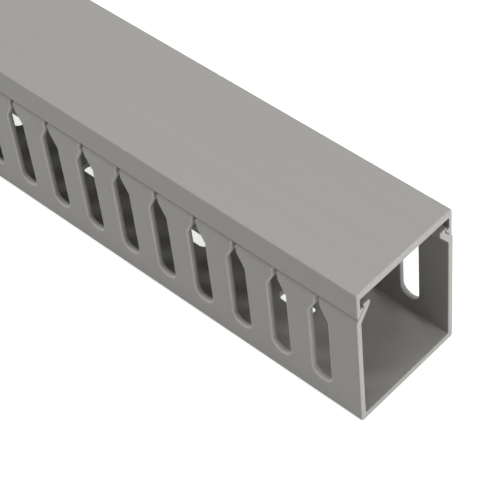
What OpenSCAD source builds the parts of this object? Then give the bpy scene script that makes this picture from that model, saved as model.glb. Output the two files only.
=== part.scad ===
// Slotted wire duct with its clip-on cover, rigid PVC, one stock length.
// X runs along the length, Y across, Z up. Z = 0 is the underside of the floor.

/* [Duct] */
// Length of the stock piece
length = 500; // [250:1:2000]
// Width over the two walls
duct_width = 37.5; // [30:0.1:100]
// Height over the fitted cover
duct_height = 50; // [40:0.1:100]
// Thickness of the walls
wall = 1.8; // [1.4:0.1:2.4]
// Thickness of the floor
floor_thk = 2.2; // [1.4:0.1:3]
// Outer radius where the walls meet the floor
foot_radius = 1; // [0.4:0.1:1.8]
// Inner radius where the walls meet the floor
foot_fillet = 0.6; // [0.3:0.1:1.5]

/* [Slots] */
// Pitch of the slots along the wall
slot_pitch = 14.2; // [12:0.1:25]
// Width of the slots below the neck
slot_width = 6.4; // [5:0.1:8]
// Width of the neck that opens through the finger heads
neck_width = 1.5; // [1:0.1:2.5]
// Floor underside to the round bottom of a slot
slot_foot = 7.3; // [5:0.1:14]
// Height of the sloping part between slot and neck
shoulder_rise = 4.7; // [3.5:0.1:6]
// Height of the straight neck below the seam
neck_below_seam = 2.3; // [1:0.1:5]
// Cut end of the duct to the edge of the first slot
end_land = 10; // [6:0.1:16]
// Radius at the wide end of the sloping part
belly_radius = 1.4; // [0.6:0.1:2]
// Radius where the sloping part turns into the neck
throat_radius = 1.6; // [0.6:0.1:2.2]

/* [Snap hook] */
// Height of the finger above the seam
hook_rise = 5.2; // [4.9:0.1:6]
// Depth of the groove behind the finger head
hook_depth = 3; // [2.6:0.1:3.6]
// Rise of the sloping outer face up to the groove
ramp_rise = 3.5; // [2.8:0.1:3.6]
// Reach of the head back over the groove
lip_reach = 0.6; // [0.5:0.05:1]
// Thickness of the lip of the head
lip_thk = 0.8; // [0.6:0.05:0.9]
// Thickness of the head behind the groove
head_thk = 2.3; // [1.9:0.1:2.6]
// Height over which the wall bends in below the seam
bend_drop = 1.2; // [0.8:0.1:3]

/* [Cover] */
// Thickness of the cover plate
cover_thk = 2.2; // [1.4:0.1:2.6]
// Thickness of the legs
leg_thk = 1.2; // [1:0.1:1.5]
// Depth from the top of the cover to the tips of the legs
leg_drop = 9.4; // [8.6:0.1:12]
// Inset of the cover from the wall face on each side
cover_inset = 0.4; // [0.1:0.05:0.6]
// Outer radius of the cover edges
cover_radius = 0.5; // [0.2:0.1:1.2]
// Gap between the cover's barbs and the fingers
snap_gap = 0.2; // [0.15:0.05:0.3]
// Height of the flat end of the barb
barb_flat = 0.5; // [0.3:0.05:0.8]

/* [Base holes] */
// Distance from the near end to the middle of the first fixing slot
hole_start = 39; // [25:0.1:60]
// Spacing of the fixing slots
hole_spacing = 39.6; // [30:0.1:100]
// Width of a fixing slot
hole_width = 4.3; // [3:0.1:7]
// Length of a fixing slot
hole_length = 12; // [8:0.1:20]

/* [Hidden] */
$fn = 48;
eps = 0.01;
over = 2;
half = duct_width / 2;
// the finger's outer face slopes in from the seam, and the barb's underside lies
// parallel to it, the snap gap away
ramp_slope = ramp_rise / hook_depth;
ramp_lift = snap_gap * sqrt(1 + ramp_slope * ramp_slope);
leg_tip = duct_height - leg_drop;
seam = leg_tip - ramp_lift - ramp_slope * cover_inset;
head_top = seam + hook_rise;
groove_low = seam + ramp_rise;
groove_high = head_top - lip_thk;
head_in = hook_depth + head_thk;
// small slants and rounds of the hook and the leg tips
lip_slant = 0.25;
head_round = 0.8;
tip_round = 0.2;
// a round that meets a slanting side crosses it at a slight angle instead of just
// touching it, so that the solid gets no hair-thin edges
skim = 0.002;
// slots
slot_r = slot_width / 2;
neck_r = neck_width / 2;
neck_start = seam - neck_below_seam;
slot_top = neck_start - shoulder_rise;
slope_run = slot_r - neck_r;
slope_turn = atan2(slope_run, shoulder_rise);
belly_set = belly_radius * tan(slope_turn / 2);
throat_set = throat_radius * tan(slope_turn / 2);
slot_room = length - 2 * end_land - slot_width;
slot_count = 1 + floor(slot_room / slot_pitch);
first_slot = length / 2 - end_land - slot_r;
hole_count = 1 + floor((length - hole_start - hole_length / 2 - end_land) / hole_spacing);
// cover
cover_half = half - cover_inset;
leg_in = cover_inset + leg_thk;
barb_in = hook_depth - snap_gap;
barb_top = groove_high - snap_gap;
barb_low = barb_top - barb_flat;

// u is measured inward from the outer face of the wall, and both sides mirror
function both_sides(pts) = concat(
    [for (p = pts) [p[0] - half, p[1]]],
    [for (i = [len(pts) - 1 : -1 : 0]) [half - pts[i][0], pts[i][1]]]
);

// what is left outside a quarter circle of radius r in the corner at the origin
module corner(r) {
    difference() {
        translate([-over, -over]) square(r + over);
        translate([r, r]) circle(r = r);
    }
}

// outer faces of walls, floor and hooks
module duct_outline() {
    lip = hook_depth - lip_reach;
    polygon(both_sides([
        [0, 0], [0, seam], [hook_depth, groove_low], [hook_depth, groove_high],
        [lip, groove_high], [lip + lip_slant, head_top]
    ]));
}

// the wireway between the walls, open between the finger heads
module wireway() {
    polygon(both_sides([
        [wall, floor_thk], [wall, seam - bend_drop], [head_in, groove_low], [head_in, head_top + over]
    ]));
}

// both walls and the floor
module duct_section() {
    difference() {
        duct_outline();
        difference() {
            wireway();
            for (m = [0, 1]) mirror([m, 0])
                translate([wall - half, floor_thk]) corner(foot_fillet);
        }
        for (m = [0, 1]) mirror([m, 0]) {
            translate([-half, 0]) corner(foot_radius);
            translate([head_in - half, head_top]) rotate(180) corner(head_round);
        }
    }
}

// half of the sloping part: rounded into the slot below and the neck above
module bottle_half() {
    difference() {
        union() {
            polygon([
                [-eps, slot_top - belly_set - 1],
                [slot_r, slot_top - belly_set - 1],
                [slot_r, slot_top], [neck_r, neck_start],
                [neck_r, head_top + over], [-eps, head_top + over]
            ]);
            polygon([
                [neck_r, neck_start - throat_set],
                [neck_r, neck_start + throat_set],
                [neck_r + throat_set * sin(slope_turn), neck_start - throat_set * cos(slope_turn)]
            ]);
        }
        // the belly corner of the opening, rounded
        difference() {
            polygon([
                [slot_r + 0.1, slot_top - belly_set],
                [slot_r + 0.1, slot_top + belly_set],
                [slot_r - belly_set * sin(slope_turn), slot_top + belly_set * cos(slope_turn)],
                [slot_r - belly_radius, slot_top - belly_set]
            ]);
            translate([slot_r - belly_radius, slot_top - belly_set]) circle(r = belly_radius + skim);
        }
        // the throat corner of the wall, rounded
        translate([neck_r + throat_radius, neck_start + throat_set])
            circle(r = throat_radius + skim);
    }
}

// one slot with round bottom and restricted neck, drawn in X and Z
module slot_outline() {
    translate([0, slot_foot + slot_r]) circle(r = slot_r);
    translate([-slot_r, slot_foot + slot_r])
        square([slot_width, slot_top - belly_set - slot_foot - slot_r]);
    bottle_half();
    mirror([1, 0]) bottle_half();
}

// one fixing slot in the floor
module base_hole() {
    run = hole_length - hole_width;
    for (s = [-1, 1]) translate([s * run / 2, 0, -over]) cylinder(d = hole_width, h = floor_thk + 2 * over);
    translate([-run / 2, -hole_width / 2, -over]) cube([run, hole_width, floor_thk + 2 * over]);
}

module duct_body() {
    color([0.60, 0.59, 0.57])
    difference() {
        translate([-length / 2, 0, 0]) rotate([90, 0, 90])
            linear_extrude(height = length) duct_section();
        for (i = [0 : slot_count - 1])
            translate([first_slot - i * slot_pitch, half + over, 0]) rotate([90, 0, 0])
                linear_extrude(height = duct_width + 2 * over) slot_outline();
        for (i = [0 : hole_count - 1])
            translate([length / 2 - hole_start - i * hole_spacing, 0, 0]) base_hole();
    }
}

// sloping underside of a barb, parallel to the finger's outer face
function flank(u) = seam + ramp_lift + ramp_slope * u;

// plate, legs and barbs of the cover
module cover_section() {
    difference() {
        polygon(both_sides([
            [cover_inset, duct_height], [cover_inset, leg_tip + tip_round],
            [cover_inset + tip_round, flank(cover_inset + tip_round)],
            [barb_in - tip_round, flank(barb_in - tip_round)], [barb_in, barb_low],
            [barb_in, barb_top], [leg_in, barb_top], [leg_in, duct_height - cover_thk]
        ]));
        for (m = [0, 1]) mirror([m, 0])
            translate([-cover_half, duct_height]) mirror([0, 1]) corner(cover_radius);
    }
}

module cover() {
    color([0.62, 0.61, 0.59])
    translate([-length / 2, 0, 0]) rotate([90, 0, 90])
        linear_extrude(height = length) cover_section();
}

duct_body();
cover();
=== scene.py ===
import bmesh
import bpy
import numpy as np
from mathutils import Matrix, Vector


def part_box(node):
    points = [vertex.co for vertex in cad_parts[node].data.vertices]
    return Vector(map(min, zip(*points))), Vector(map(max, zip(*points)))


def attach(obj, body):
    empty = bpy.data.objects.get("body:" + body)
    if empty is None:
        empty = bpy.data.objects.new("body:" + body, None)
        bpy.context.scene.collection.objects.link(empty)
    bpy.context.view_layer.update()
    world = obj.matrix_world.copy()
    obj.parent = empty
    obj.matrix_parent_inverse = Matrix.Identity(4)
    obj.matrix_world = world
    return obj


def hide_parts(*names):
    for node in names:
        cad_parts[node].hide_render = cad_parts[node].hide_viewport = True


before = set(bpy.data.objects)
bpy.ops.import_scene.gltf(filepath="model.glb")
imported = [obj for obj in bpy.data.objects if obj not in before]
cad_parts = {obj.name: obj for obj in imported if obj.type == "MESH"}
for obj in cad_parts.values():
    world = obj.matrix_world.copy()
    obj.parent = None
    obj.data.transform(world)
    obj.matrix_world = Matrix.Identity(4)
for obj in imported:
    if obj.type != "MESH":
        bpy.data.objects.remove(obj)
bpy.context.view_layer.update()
mm = 0.001  # the pieces are worked out in millimetres, the lamps and the camera in metres
sameHeight = 0.01  # millimetres within which two heights count as one
print("frame loaded")

ductHigh, coverHigh = (np.array(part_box(piece)[1]) / mm for piece in ("duct_body", "cover"))
halfLength, halfWidth, headTop = ductHigh


# Path through corners given as (u, z, ease). It runs straight between corners. At a corner C it
# follows the quadratic curve (1-t)^2 A + 2t(1-t) C + t^2 B, where A and B lie the ease before and
# after C. Returns the points and the unit directions of travel.
def easedPath(corners, lineSteps, cornerSteps):
    table = np.array([tuple(c) + (0,) * (3 - len(c)) for c in corners], float)
    place, ease = table[:, :2], table[:, 2:]
    way = np.diff(place, axis=0)
    way /= np.linalg.norm(way, axis=1, keepdims=True)
    begin = place[1:-1] - ease[1:-1] * way[:-1]
    end = place[1:-1] + ease[1:-1] * way[1:]
    points, ways = [place[:1]], [way[:1]]
    for k, (straight, curved) in enumerate(zip(lineSteps, cornerSteps)):
        t = np.linspace(0, 1, straight + 1)[1:, None]
        here = points[-1][-1]
        target = begin[k] if k < len(begin) else place[-1]
        points.append(here + (target - here) * t)
        ways.append(np.repeat(way[k : k + 1], straight, 0))
        if k < len(begin):
            t = np.linspace(0, 1, curved + 1)[1:, None]
            points.append((1 - t) ** 2 * begin[k] + 2 * t * (1 - t) * place[k + 1] + t**2 * end[k])
            turn = (1 - t) * way[k] + t * way[k + 1]
            ways.append(turn / np.linalg.norm(turn, axis=1, keepdims=True))
    return np.concatenate(points), np.concatenate(ways)


# The normal of a skin points into the material: the direction of travel turned a quarter
# clockwise on the outer skin, and anticlockwise on the inner one.
def intoMaterial(ways, skin):
    side = 1 if skin == "outer" else -1
    return np.stack([side * ways[:, 1], -side * ways[:, 0]], axis=1)


# Share of the lighter cut colour on the rounded edge, partly the cut's own colour and partly a painted
# highlight: amount times sin a to a power, 0 on the skin.
def cutAndHighlightShare(a, sheen):
    power, amount = sheen
    return amount * np.sin(a) ** power


# Columns of a closed band round a strip of wall between two cut edges, a (low x) and b (high x).
# Each edge is a function of the distance s from the cut. The rounded edge of radius r keeps
# s = r(1 - sin a) from the cut and sinks r(1 - cos a) into the skin, for a from 0 to 90 degrees.
# Skin 0 is the outer one, and skin 1 the inner one.
def bandColumns(edgeA, edgeB, radiusA, radiusB, sheenA, sheenB, faceSteps, roundSteps):
    angle = np.linspace(0, np.pi / 2, roundSteps + 1)
    t = np.linspace(0, 1, faceSteps + 1)
    columns = []

    def face(skin, shares):
        xa, za = edgeA(radiusA[skin])
        xb, zb = edgeB(radiusB[skin])
        for share in shares:
            columns.append((xa + (xb - xa) * share, za + (zb - za) * share, 0 * xa, skin, 0.0))

    # the rounds carry the lighter cut colour, partly the cut's own and partly a painted highlight
    def rounded(edge, radius, sheen, skin, angles):
        for a in angles:
            x, z = edge(radius[skin] * (1 - np.sin(a)))
            columns.append((x, z, radius[skin] * (1 - np.cos(a)) + 0 * x, skin, cutAndHighlightShare(a, sheen[skin])))

    face(0, t)
    rounded(edgeB, radiusB, sheenB, 0, angle[1:])
    rounded(edgeB, radiusB, sheenB, 1, angle[:0:-1])
    face(1, t[::-1])
    rounded(edgeA, radiusA, sheenA, 1, angle[1:])
    rounded(edgeA, radiusA, sheenA, 0, angle[:0:-1])
    x, z, depth = (np.stack([c[i] for c in columns], axis=1) for i in range(3))
    skin = np.array([c[3] for c in columns])
    cutAndHighlight = np.array([c[4] for c in columns])
    return x, z, depth, skin, cutAndHighlight


# Places and normals of the rows, each column on its own skin.
def onSkin(skins, skin):
    return [np.where(skin[:, None] == 1, skins[1][i][:, None], skins[0][i][:, None]) for i in (0, 1)]


# Points (x, u - halfWidth, z) sunk by depth along the normals. u is measured inward from the outer
# face, and the wall stands on the side y < 0.
def sunkPoints(x, depth, skins, skin):
    place, normal = onSkin(skins, skin)
    u, z = place[..., 0] + normal[..., 0] * depth, place[..., 1] + normal[..., 1] * depth
    return np.stack([x, u - halfWidth, z], axis=-1)


# Collects grids of points as one set of vertices, quads and cut values, the share of the lighter cut colour
# that is partly painted highlight.
class Patchwork:
    def __init__(self):
        self.points, self.quads, self.cutAndHighlightShares, self.count = [], [], [], 0

    # A grid (rows, columns, 3) becomes quads between neighbours. A wrapped grid also joins its
    # last column to its first.
    def add(self, grid, cutAndHighlight, wrap=False):
        rows, columns = grid.shape[:2]
        index = self.count + np.arange(rows * columns).reshape(rows, columns)
        if wrap:
            index = np.concatenate([index, index[:, :1]], axis=1)
        quads = np.stack([index[:-1, :-1], index[:-1, 1:], index[1:, 1:], index[1:, :-1]], axis=-1)
        self.points.append(grid.reshape(-1, 3))
        self.cutAndHighlightShares.append(np.broadcast_to(cutAndHighlight, grid.shape[:2]).reshape(-1))
        self.quads.append(quads.reshape(-1, 4))
        self.count += rows * columns

    def copyAcross(self):  # the same again, mirrored in the plane y = 0
        points, quads, cutAndHighlightShares = (np.concatenate(a) for a in (self.points, self.quads, self.cutAndHighlightShares))
        self.points = [points, points * np.array([1, -1, 1])]
        self.quads = [quads, quads + len(points)]
        self.cutAndHighlightShares = [cutAndHighlightShares, cutAndHighlightShares]
        self.count = 2 * len(points)


# steps are (along each straight, round each corner), and a sheen is (power, amount) for the share
# of the lighter cut colour on a rounded edge, which is partly a painted highlight, where a pair of
# sheens is for the outer and the inner skin
trough = {
    "wall": 1.8, "floor": 2.2, "footRound": 1.0, "footFillet": 0.6, "footSteps": ((1, 1), (4, 0)),
    # slots
    "slotPitch": 14.2, "slotWidth": 6.4, "neckWidth": 1.5, "slotFoot": 7.3, "endLand": 10.0,
    "shoulderRise": 4.7, "neckBelowSeam": 2.3, "bellyRadius": 1.4, "throatRadius": 1.6,
    "neckLead": 0.1, "bottomSteps": 8, "sideSteps": ((2, 2, 1), (4, 4, 0)),
    # finger heads
    "hookRise": 5.2, "hookDepth": 3.0, "rampRise": 3.5, "lipReach": 0.6, "lipThickness": 0.8,
    "lipSlant": 0.25, "headThickness": 2.3, "headRound": 0.8, "bendDrop": 1.2, "crownShift": 0.6,
    "seamEase": 0.4, "grooveEases": (0.25, 0.12), "lipEase": 0.36, "bendEase": 0.5,
    "backDrop": 0.2, "backEase": 0.1, "roundShare": 0.95,
    "headSteps": ((1, 2, 2, 1, 1, 1), (3, 3, 2, 3, 3, 0)),
    # punched and sawn edges
    "slotEdge": 0.5, "fingerEdge": 0.25, "slotEdgeInside": 0.15, "rollFade": 0.4, "sawnEdge": 0.25,
    # on a slot's outer rim the lighter cut colour is a painted highlight that fades to none at the inner
    # skin; sawn ends get it on both skins
    "slotSheen": ((0.6, 1.0), (8, 0.0)), "sawnSheen": ((4, 1.0), (8, 1.0)),
    "edgeSteps": 3, "faceSteps": 3, "stripHalf": 6.0, "stripColumns": 5, "lowRow": 4.0,
    # fixing slots
    "holeStart": 39.0, "holeSpacing": 39.6, "holeWidth": 4.3, "holeLength": 12.0,
    # the fixing slots' walls get only a little of the lighter cut colour and its painted highlight
    "holeEdge": 0.2, "holeSheen": (8, 0.2), "holeSteps": 32,
}

seam = headTop - trough["hookRise"]
grooveLow = seam + trough["rampRise"]
grooveHigh = headTop - trough["lipThickness"]
headIn = trough["hookDepth"] + trough["headThickness"]
bendFoot = seam - trough["bendDrop"]
slotRadius = trough["slotWidth"] / 2
neckRadius = trough["neckWidth"] / 2
neckStart = seam - trough["neckBelowSeam"]
slotTop = neckStart - trough["shoulderRise"]
slopeTurn = np.arctan2(slotRadius - neckRadius, trough["shoulderRise"])
bellySet = trough["bellyRadius"] * np.tan(slopeTurn / 2)
throatSet = trough["throatRadius"] * np.tan(slopeTurn / 2)
neckEnd = neckStart + throatSet + trough["neckLead"]  # from here up a slot is a plain gap
slotRoom = 2 * halfLength - 2 * trough["endLand"] - trough["slotWidth"]
slotCount = 1 + int(slotRoom / trough["slotPitch"])
firstSlot = halfLength - trough["endLand"] - slotRadius
holeRoom = 2 * halfLength - trough["holeStart"] - trough["holeLength"] / 2 - trough["endLand"]
holeCount = 1 + int(holeRoom / trough["holeSpacing"])


# Half of a slot's outline, from its lowest point up to the plain neck: a quarter circle, a straight
# side, the belly, the slope, the throat and the neck. Returns half widths, heights and the normal
# that points into the wall.
def slotOutline():
    angle = np.linspace(-np.pi / 2, 0, trough["bottomSteps"] + 1)
    bottomZ = trough["slotFoot"] + slotRadius * (1 + np.sin(angle))
    bottom = np.stack([slotRadius * np.cos(angle), bottomZ], 1)
    bottomNormal = np.stack([np.cos(angle), np.sin(angle)], 1)
    corners = [
        (slotRadius, bottom[-1, 1]), (slotRadius, slotTop, bellySet),
        (neckRadius, neckStart, throatSet), (neckRadius, neckEnd),
    ]
    side, ways = easedPath(corners, *trough["sideSteps"])
    outline = np.concatenate([bottom, side[1:]])
    normal = np.concatenate([bottomNormal, intoMaterial(ways, "outer")[1:]])
    return outline[:, 0], outline[:, 1], normal[:, 0], normal[:, 1]


# Both skins of the finger head above the neck, as eased paths with paired stations.
def headSkins():
    depth, lip = trough["hookDepth"], trough["hookDepth"] - trough["lipReach"]
    lowEase, highEase = trough["grooveEases"]
    lipEase, bendEase = trough["lipEase"], trough["bendEase"]
    crown = (depth + headIn) / 2 - trough["crownShift"]
    roundSet = trough["headRound"] * np.tan(np.pi / 8)
    roundEase = roundSet * trough["roundShare"]
    outer = [
        (0, neckEnd), (0, seam, trough["seamEase"]), (depth, grooveLow, lowEase),
        (depth, grooveHigh, highEase), (lip, grooveHigh, lipEase),
        (lip + trough["lipSlant"], headTop, lipEase), (crown, headTop),
    ]
    inner = [
        (trough["wall"], neckEnd), (trough["wall"], bendFoot, bendEase), (headIn, grooveLow, bendEase),
        (headIn, grooveHigh - trough["backDrop"], trough["backEase"]),
        (headIn, headTop - trough["headRound"] + roundSet, roundEase),
        (headIn - trough["headRound"] + roundSet, headTop, roundEase), (crown, headTop),
    ]
    skins = []
    for skin, corners in (("outer", outer), ("inner", inner)):
        points, ways = easedPath(corners, *trough["headSteps"])
        skins.append((points[1:], intoMaterial(ways, skin)[1:]))
    return skins


# Both skins of half the floor and of the foot, from the middle strip out and up to the low row.
def footSkins():
    start, low = halfWidth - trough["stripHalf"], trough["lowRow"]
    wall, floor = trough["wall"], trough["floor"]
    outer = [(start, 0), (0, 0, trough["footRound"]), (0, low)]
    inner = [(start, floor), (wall, floor, trough["footFillet"]), (wall, low)]
    skins = []
    for skin, corners in (("outer", outer), ("inner", inner)):
        points, ways = easedPath(corners, *trough["footSteps"])
        skins.append((points, intoMaterial(ways, skin)))
    return skins


slotHalf, slotZ, slotNx, slotNz = slotOutline()
heads = headSkins()
feet = footSkins()
headRows = len(heads[0][0])
footRows = len(feet[0][0])


# An edge along a slot: the outline pushed s along its normal. Up the head it stays the neck's.
def slotEdge(centre, side):
    def edge(s):
        s = s + np.zeros(len(slotZ) + headRows)
        x = np.concatenate([slotHalf + slotNx * s[: len(slotZ)], neckRadius + s[len(slotZ) :]])
        z = np.concatenate([slotNz * s[: len(slotZ)], np.zeros(headRows)])
        return centre + side * x, z
    return edge


# An edge along a sawn end, s inside it.
def sawnEdge(end, rows):
    def edge(s):
        return np.full(rows, end - np.sign(end) * s), np.zeros(rows)
    return edge


# A point of the wall and its finger head: on the skin at the row's height moved by dz, then sunk by
# depth along the normal, with u as in sunkPoints.
def wallPoints(x, dz, depth, skin):
    z = slotZ[:, None] + dz[: len(slotZ)]
    u = np.where(skin == 1, trough["wall"], 0) + 0 * z
    nu, nz = np.where(skin == 1, -1, 1) + 0 * z, 0 * z
    headPlace, headNormal = onSkin(heads, skin)
    u = np.concatenate([u, headPlace[..., 0]])
    z = np.concatenate([z, headPlace[..., 1]])
    nu = np.concatenate([nu, headNormal[..., 0]])
    nz = np.concatenate([nz, headNormal[..., 1]])
    return np.stack([x, u + nu * depth - halfWidth, z + nz * depth], axis=-1)


# One finger with the wall and floor below it, between two slots or between a slot and a sawn end.
def addFinger(work, low, high):
    rows = len(slotZ) + headRows
    # a slot's outer edge is rolled in by the punch, less so up the finger head, and at the crown as
    # little as the inner edge that it meets there
    rollHeights = neckEnd, seam - trough["rollFade"], grooveHigh, headTop - sameHeight
    rollRadii = trough["slotEdge"], trough["fingerEdge"], trough["fingerEdge"], trough["slotEdgeInside"]
    rolled = np.interp(heads[0][0][:, 1], rollHeights, rollRadii)
    outerRadii = np.concatenate([np.full(len(slotZ), trough["slotEdge"]), rolled])
    slotRadii = (outerRadii, trough["slotEdgeInside"])
    edges, radii, sheens = [], [], []
    for (kind, place), side in ((low, 1), (high, -1)):
        edges.append(slotEdge(place, side) if kind == "slot" else sawnEdge(place, rows))
        radii.append(slotRadii if kind == "slot" else (trough["sawnEdge"],) * 2)
        sheens.append(trough["slotSheen"] if kind == "slot" else trough["sawnSheen"])
    steps = trough["faceSteps"], trough["edgeSteps"]
    x, dz, depth, skin, cutAndHighlight = bandColumns(*edges, *radii, *sheens, *steps)
    band = wallPoints(x, dz, depth, skin)
    work.add(band, cutAndHighlight, wrap=True)
    # below the slots the same columns go on down, without the rounds of the slots
    faces, rounds = steps[0] + 1, steps[1]
    parts = [np.arange(faces)]
    if high[0] == "sawn":
        parts = [np.arange(2 * faces + 2 * rounds)]
    elif low[0] == "sawn":
        order = np.arange(faces + 2 * rounds, len(skin) + faces)
        parts = [order % len(skin)]
    else:
        parts.append(np.arange(faces) + faces + 2 * rounds)
    for part in parts:
        top = band[:1, part]
        x, sunk = (np.repeat(row, footRows, 0) for row in (top[..., 0], depth[:1, part]))
        under = sunkPoints(x, sunk, feet, skin[part])
        work.add(np.concatenate([under, top]), cutAndHighlight[part])


# Section of a cut through the floor, from the underside up, with both edges rounded by the radius r:
# the distance r(1 - sin a) from the cut, heights that start r(1 - cos a) in, and the cut value, the
# share of the lighter cut colour that is partly painted highlight.
def floorCut(radius, sheen):
    angle = np.linspace(0, np.pi / 2, trough["edgeSteps"] + 1)
    s = radius * (1 - np.sin(angle))
    depth = radius * (1 - np.cos(angle))
    away = np.concatenate([s, s[::-1]])
    z = np.concatenate([depth, (trough["floor"] - depth)[::-1]])
    cutAndHighlight = np.concatenate([cutAndHighlightShare(angle, sheen), cutAndHighlightShare(angle[::-1], sheen)])
    return away, z, cutAndHighlight


# The rounded and sawn end of the floor's middle strip, which the foot rows don't reach.
def addStripEnd(work, end):
    away, z, cutAndHighlight = floorCut(trough["sawnEdge"], trough["sawnSheen"][1])
    x = end - np.sign(end) * away
    y = np.linspace(-trough["stripHalf"], trough["stripHalf"], trough["stripColumns"])
    work.add(np.stack(np.broadcast_arrays(x[None], y[:, None], z[None]), axis=-1), cutAndHighlight)


# A fixing slot: two half circles joined by straights, with rounded edges on both faces.
def addBaseHole(work, centre):
    steps = trough["holeSteps"]
    turn = np.linspace(0, 2 * np.pi, steps + 1)[:-1] + np.pi / steps
    radius, run = trough["holeWidth"] / 2, (trough["holeLength"] - trough["holeWidth"]) / 2
    away, z, cutAndHighlight = floorCut(trough["holeEdge"], trough["holeSheen"])
    reach = radius + away
    x = centre + np.sign(np.cos(turn))[:, None] * run + np.cos(turn)[:, None] * reach
    y = np.sin(turn)[:, None] * reach
    grid = np.stack(np.broadcast_arrays(x, y, z[None]), axis=-1)
    work.add(np.concatenate([grid, grid[:1]]), cutAndHighlight)


meshing = {"mergeWithin": 0.002, "collapseWithin": 0.001, "shadingWeight": 60}  # the first two in mm


# Makes the patches one closed mesh: doubles merged, flat gaps at the given heights filled, faces
# turned outwards, and the cut value, the share of the lighter cut colour that is partly painted
# highlight, kept as an attribute for the material.
def buildMesh(name, work, flats=()):
    mesh = bpy.data.meshes.new(name)
    mesh.from_pydata(np.concatenate(work.points) * mm, [], np.concatenate(work.quads))
    cutAndHighlightShares = np.concatenate(work.cutAndHighlightShares).astype(np.float32)
    mesh.attributes.new("cutAndHighlight", "FLOAT", "POINT").data.foreach_set("value", cutAndHighlightShares)
    form = bmesh.new()
    form.from_mesh(mesh)
    bmesh.ops.remove_doubles(form, verts=form.verts, dist=meshing["mergeWithin"] * mm)
    bmesh.ops.dissolve_degenerate(form, edges=form.edges, dist=meshing["collapseWithin"] * mm)
    for height in flats:
        rim = [e for e in form.edges if len(e.link_faces) == 1
               and all(abs(v.co.z / mm - height) < sameHeight for v in e.verts)]
        bmesh.ops.triangle_fill(form, edges=rim, use_beauty=True, normal=(0, 0, 1))
    bmesh.ops.recalc_face_normals(form, faces=form.faces)
    loose = [e for e in form.edges if len(e.link_faces) != 2]
    triangles = sum(len(f.verts) - 2 for f in form.faces)
    print(f"{name}: {triangles} triangles, {len(loose)} edges without two faces")
    form.to_mesh(mesh)
    form.free()
    mesh.polygons.foreach_set("use_smooth", np.ones(len(mesh.polygons), bool))
    piece = bpy.data.objects.new(name, mesh)
    bpy.context.scene.collection.objects.link(piece)
    shading = piece.modifiers.new("evenShading", "WEIGHTED_NORMAL")
    shading.weight = meshing["shadingWeight"]
    shading.keep_sharp = False
    return piece


# The trough: fingers side by side from end to end, mirrored for the other wall, then the ends of
# the middle strip and the fixing slots. The flat faces between them are filled.
def makeTrough():
    work = Patchwork()
    centres = firstSlot - trough["slotPitch"] * np.arange(slotCount)
    addFinger(work, ("slot", centres[0]), ("sawn", halfLength))
    for k in range(slotCount - 1):
        addFinger(work, ("slot", centres[k + 1]), ("slot", centres[k]))
    addFinger(work, ("sawn", -halfLength), ("slot", centres[-1]))
    work.copyAcross()
    for end in (-halfLength, halfLength):
        addStripEnd(work, end)
    for k in range(holeCount):
        addBaseHole(work, halfLength - trough["holeStart"] - trough["holeSpacing"] * k)
    return buildMesh("duct_trough", work, flats=(0, trough["floor"]))


lid = {
    "thickness": 2.2, "legThickness": 1.2, "inset": 0.4, "snapGap": 0.2, "barbFlat": 0.5,
    "cornerRound": 0.5, "plateEase": 0.3, "barbEases": (0.12, 0.15, 0.15), "tipRound": 0.45,
    "tipLift": 0.05, "tipEase": 0.04,
    # extra rows on the straight leg, (height from the barb's top, ease), and the rows near its tip
    "legRows": ((0.3, 0.15), (-0.1, 0.1)), "legRowEase": 0.1, "aboveTip": 0.1,
    "skinSteps": ((4, 3, 1, 1, 2, 1), (5, 3, 3, 3, 2, 0)),  # as in the trough
    # sawn edges, which grow from the leg's size to the plate's over edgeGrowth, measured inward
    "sawnEdgeTop": 0.6, "sawnEdgeLeg": 0.33, "sawnEdgeUnder": 0.1, "edgeGrowth": (0.6, 1.6),
    # the sawn sheen spreads the lighter cut colour wide over the plate's rounded top edge, as a painted
    # highlight
    "edgeShare": 0.42, "sawnSheen": ((1.5, 1.0), (8, 1.0)), "edgeSteps": 3, "faceSteps": 36,
}


# Both skins of half the cover, from the middle of the plate out and down to the tip of the leg.
def coverSkins():
    top, inset = coverHigh[2], lid["inset"]
    slope = trough["rampRise"] / trough["hookDepth"]
    lift = lid["snapGap"] * np.sqrt(1 + slope**2)
    barbIn, legIn = trough["hookDepth"] - lid["snapGap"], inset + lid["legThickness"]
    barbTop = grooveHigh - lid["snapGap"]
    barbLow = barbTop - lid["barbFlat"]
    under = top - lid["thickness"]
    rootEase, noseEase, heelEase = lid["barbEases"]

    def flank(u):  # the barb's underside, the snap gap away from the finger's slope
        return seam + lift + slope * u

    tip = (inset + lid["tipRound"] / 2, flank(inset + lid["tipRound"] / 2) + lid["tipLift"])
    foot = inset + lid["tipRound"]
    outer = [
        (halfWidth, top), (inset, top, lid["cornerRound"]),
        *((inset, barbTop + rise, ease) for rise, ease in lid["legRows"]),
        (inset, barbLow, lid["legRowEase"]), (inset, tip[1] + lid["aboveTip"], lid["tipEase"]), tip,
    ]
    inner = [
        (halfWidth, under), (legIn, under, lid["plateEase"]), (legIn, barbTop, rootEase),
        (barbIn, barbTop, noseEase), (barbIn, barbLow, heelEase), (foot, flank(foot), lid["tipEase"]), tip,
    ]
    skins = []
    # this path runs down the leg, so the material lies on the other side of it
    for side, corners in (("inner", outer), ("outer", inner)):
        points, ways = easedPath(corners, *lid["skinSteps"])
        skins.append((points, intoMaterial(ways, side)))
    return skins


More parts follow.
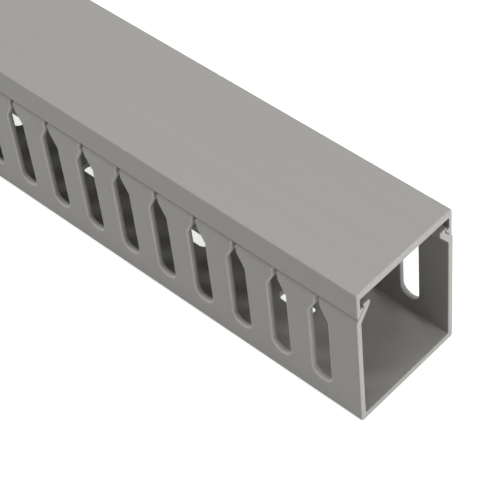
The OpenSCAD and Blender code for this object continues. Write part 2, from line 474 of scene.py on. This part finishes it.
# The cover: the same band of columns from sawn end to sawn end. The rounds of the sawn ends
# shrink where the leg is thin, to under half of its thickness there.
def makeCover():
    work = Patchwork()
    skins = coverSkins()
    thickness = np.linalg.norm(skins[0][0] - skins[1][0], axis=1)
    across = skins[0][0][:, 0] - lid["inset"]
    topEdge = np.interp(across, lid["edgeGrowth"], [lid["sawnEdgeLeg"], lid["sawnEdgeTop"]])
    radii = [np.minimum(r, lid["edgeShare"] * thickness) for r in (topEdge, lid["sawnEdgeUnder"])]
    rows = len(thickness)
    edges = sawnEdge(-halfLength, rows), sawnEdge(halfLength, rows)
    steps = lid["faceSteps"], lid["edgeSteps"]
    sheens = lid["sawnSheen"], lid["sawnSheen"]
    x, _, depth, skin, cutAndHighlight = bandColumns(*edges, radii, radii, *sheens, *steps)
    work.add(sunkPoints(x, depth, skins, skin), cutAndHighlight, wrap=True)
    work.copyAcross()
    return buildMesh("duct_cover", work)


# Adds a node of the given kind, sets its plain fields and socket values, and links its inputs.
def addNode(tree, kind, links=(), values=(), **fields):
    made = tree.nodes.new(kind)
    for key, value in fields.items():
        setattr(made, key, value)
    for socket, value in values:
        made.inputs[socket].default_value = value
    for socket, source in links:
        tree.links.new(source, made.inputs[socket])
    return made


# Blends two colours by a factor. A colour is four plain numbers or another node's output.
def blendColours(tree, factor, first, second):
    firstSocket, secondSocket, result = 6, 7, 2  # a Mix node's own sockets for colours
    mix = addNode(tree, "ShaderNodeMix", [("Factor", factor)], data_type="RGBA")
    for socket, colour in ((firstSocket, first), (secondSocket, second)):
        if isinstance(colour, tuple):
            mix.inputs[socket].default_value = colour
        else:
            tree.links.new(colour, mix.inputs[socket])
    return mix.outputs[result]


pvc = {
    "light": (0.352, 0.342, 0.322, 1), "dark": (0.322, 0.313, 0.295, 1),
    # colours of sawn and punched faces, mixed by the saw marks: partly the cut's own lighter colour, partly
    # a painted highlight
    "cutAndHighlight": (0.70, 0.685, 0.64, 1), "cutAndHighlightDark": (0.58, 0.565, 0.525, 1),
    "streaks": (1.5, 260.0, 260.0), "sawMarks": (40.0, 900.0, 420.0), "spread": (0.3, 0.7),
    # noise as (scale, detail, roughness); streaks and saw marks are scaled by their stretch above
    "mottleNoise": (9.0, 4.0, 0.6), "speckleNoise": (900.0, 3.0, 0.7),
    "streakNoise": (1.0, 3.0, 0.55), "markNoise": (1.0, 2.0, 0.6),
    "roughness": (0.46, 0.6), "specular": 0.4, "bumpStrength": 0.25, "bumpDepth": 0.00006,
    "coverShift": (0.4, 0.3, 0.2),
}


# Rigid PVC: warm grey with soft mottling, streaks of the extrusion along x, and lighter on sawn and
# punched faces and their rounded edges, partly by the cut's own colour and partly as a painted highlight.
def pvcMaterial(name, offset):
    material = bpy.data.materials.new(name)
    material.use_nodes = True
    tree = material.node_tree
    tree.nodes.clear()

    def shifted(vector, **setting):
        return addNode(tree, "ShaderNodeMapping", [("Vector", vector)], setting.items()).outputs["Vector"]

    def noise(vector, setting):
        values = zip(("Scale", "Detail", "Roughness"), setting)
        return addNode(tree, "ShaderNodeTexNoise", [("Vector", vector)], values).outputs["Fac"]

    def ranged(value, low, high):
        limits = zip(("From Min", "From Max", "To Min", "To Max"), (*pvc["spread"], low, high))
        return addNode(tree, "ShaderNodeMapRange", [("Value", value)], limits).outputs["Result"]

    def blend(factor, first, second):
        links = [("Factor", factor), ("A", first), ("B", second)]
        return addNode(tree, "ShaderNodeMix", links).outputs["Result"]

    place = addNode(tree, "ShaderNodeTexCoord").outputs["Object"]
    moved = shifted(place, Location=offset)
    mottle = noise(moved, pvc["mottleNoise"])
    speckle = noise(moved, pvc["speckleNoise"])
    streak = noise(shifted(moved, Scale=pvc["streaks"]), pvc["streakNoise"])
    marks = noise(shifted(moved, Scale=pvc["sawMarks"]), pvc["markNoise"])
    # where the lighter cut colour and its painted highlight lie, read from the mesh's attribute
    cutAndHighlight = addNode(tree, "ShaderNodeAttribute", attribute_name="cutAndHighlight").outputs["Fac"]

    mixed = blend(mottle, streak, speckle)
    body = blendColours(tree, ranged(mixed, 0, 1), pvc["dark"], pvc["light"])
    # the lighter cut colour, which also paints a highlight on the rounded rims
    cutAndHighlightColour = blendColours(tree, marks, pvc["cutAndHighlightDark"], pvc["cutAndHighlight"])
    colour = blendColours(tree, cutAndHighlight, body, cutAndHighlightColour)

    relief = blend(cutAndHighlight, mixed, marks)
    bumpValues = [("Strength", pvc["bumpStrength"]), ("Distance", pvc["bumpDepth"])]
    bump = addNode(tree, "ShaderNodeBump", [("Height", relief)], bumpValues).outputs["Normal"]
    surface = [("Base Color", colour), ("Roughness", ranged(mixed, *pvc["roughness"])), ("Normal", bump)]
    shader = addNode(tree, "ShaderNodeBsdfPrincipled", surface, [("Specular IOR Level", pvc["specular"])])
    addNode(tree, "ShaderNodeOutputMaterial", [("Surface", shader.outputs["BSDF"])])
    return material


troughPiece = makeTrough()
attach(troughPiece, "duct")
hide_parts("duct_body")
troughPiece.data.materials.append(pvcMaterial("greyPvcTrough", (0, 0, 0)))
print("trough done")

coverPiece = makeCover()
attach(coverPiece, "cover")
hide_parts("cover")
coverPiece.data.materials.append(pvcMaterial("greyPvcCover", pvc["coverShift"]))
print("cover done")


stageLook = {
    "floorSize": 12.0, "floorAlbedo": (0.8, 0.8, 0.8, 1), "shadowAlbedo": (0.45, 0.45, 0.45, 1),
    "floorGlow": 0.78, "worldStrength": 0.02, "white": (1, 1, 1, 1),
}


# 1 for rays from the camera, in reflections and through glass, and 0 for every other ray.
def seenDirectly(tree):
    path = addNode(tree, "ShaderNodeLightPath")
    seen = path.outputs["Is Camera Ray"]
    for other in ("Is Glossy Ray", "Is Transmission Ray"):
        links = [(0, seen), (1, path.outputs[other])]
        seen = addNode(tree, "ShaderNodeMath", links, operation="MAXIMUM").outputs[0]
    return seen


# The floor looks white where it is seen directly, keeps the shadow, and is plain for other rays.
def makeFloor():
    half = stageLook["floorSize"] / 2
    mesh = bpy.data.meshes.new("floor")
    corners = [(-half, -half, 0), (half, -half, 0), (half, half, 0), (-half, half, 0)]
    mesh.from_pydata(corners, [], [(0, 1, 2, 3)])
    floor = bpy.data.objects.new("floor", mesh)
    bpy.context.scene.collection.objects.link(floor)
    material = bpy.data.materials.new("paleFloor")
    material.use_nodes = True
    tree = material.node_tree
    tree.nodes.clear()
    plain = addNode(tree, "ShaderNodeBsdfDiffuse", values=[("Color", stageLook["floorAlbedo"])])
    shaded = addNode(tree, "ShaderNodeBsdfDiffuse", values=[("Color", stageLook["shadowAlbedo"])])
    glow = addNode(tree, "ShaderNodeEmission", values=[("Strength", stageLook["floorGlow"])])
    white = addNode(tree, "ShaderNodeAddShader", [(0, shaded.outputs[0]), (1, glow.outputs[0])])
    links = [(0, seenDirectly(tree)), (1, plain.outputs[0]), (2, white.outputs[0])]
    mix = addNode(tree, "ShaderNodeMixShader", links)
    addNode(tree, "ShaderNodeOutputMaterial", [("Surface", mix.outputs[0])])
    mesh.materials.append(material)


# The same for the world, which gives only a little light of its own.
def makeWorld():
    world = bpy.data.worlds.new("studio")
    bpy.context.scene.world = world
    world.use_nodes = True
    tree = world.node_tree
    tree.nodes.clear()
    seen, light = (
        addNode(tree, "ShaderNodeBackground", values=[("Strength", strength), ("Color", stageLook["white"])])
        for strength in (1.0, stageLook["worldStrength"])
    )
    links = [(0, seenDirectly(tree)), (1, light.outputs[0]), (2, seen.outputs[0])]
    mix = addNode(tree, "ShaderNodeMixShader", links)
    addNode(tree, "ShaderNodeOutputWorld", [("Surface", mix.outputs[0])])


# Each lamp: place and aim in metres, size, power in watts.
lamps = {
    "overhead": ((0.1, 0.0, 1.6), (0.1, 0, 0.03), 1.2, 16.7),
    "endHigh": ((1.2, 0.1, 1.1), (0.2, 0, 0.03), 0.5, 5.4),
    "endLow": ((1.6, -0.1, 0.45), (0.2, 0, 0.03), 0.5, 3.0),
    "rimLight": ((-0.6, -1.0, 0.95), (0.1, 0, 0.04), 0.5, 4.2),
    "behind": ((-0.6, 0.5, 1.5), (0.1, 0, 0.03), 0.8, 1.1),
}


def makeLamps():
    for name, (place, aim, size, power) in lamps.items():
        data = bpy.data.lights.new(name, "AREA")
        data.shape, data.size, data.energy = "DISK", size, power
        lamp = bpy.data.objects.new(name, data)
        lamp.location = place
        lamp.rotation_mode = "QUATERNION"
        lamp.rotation_quaternion = (Vector(aim) - Vector(place)).to_track_quat("-Z", "Y")
        bpy.context.scene.collection.objects.link(lamp)


shot = {
    "place": (0.43795, -0.22089, 0.37697), "aim": (0.20311, -0.00820, 0.025),  # metres
    "roll": -6.79, "lens": 128.48, "sensor": 36, "clip": (0.01, 50),
}


# The camera looks from its place to the aim, turned by the roll about its line of sight.
def makeCamera():
    data = bpy.data.cameras.new("view")
    data.lens, data.sensor_width, data.sensor_fit = shot["lens"], shot["sensor"], "HORIZONTAL"
    data.clip_start, data.clip_end = shot["clip"]
    camera = bpy.data.objects.new("view", data)
    forward = (Vector(shot["aim"]) - Vector(shot["place"])).normalized()
    level = forward.cross(Vector((0, 0, 1))).normalized()
    upright = level.cross(forward)
    roll = np.radians(shot["roll"])
    right = level * np.cos(roll) + upright * np.sin(roll)
    up = right.cross(forward)
    turn = Matrix((right, up, -forward)).transposed().to_4x4()
    camera.matrix_world = Matrix.Translation(shot["place"]) @ turn
    bpy.context.scene.collection.objects.link(camera)
    bpy.context.scene.camera = camera


makeFloor()
makeWorld()
makeLamps()
makeCamera()
bpy.context.scene.view_settings.view_transform = "Standard"
print("stage done")

bpy.context.view_layer.update()
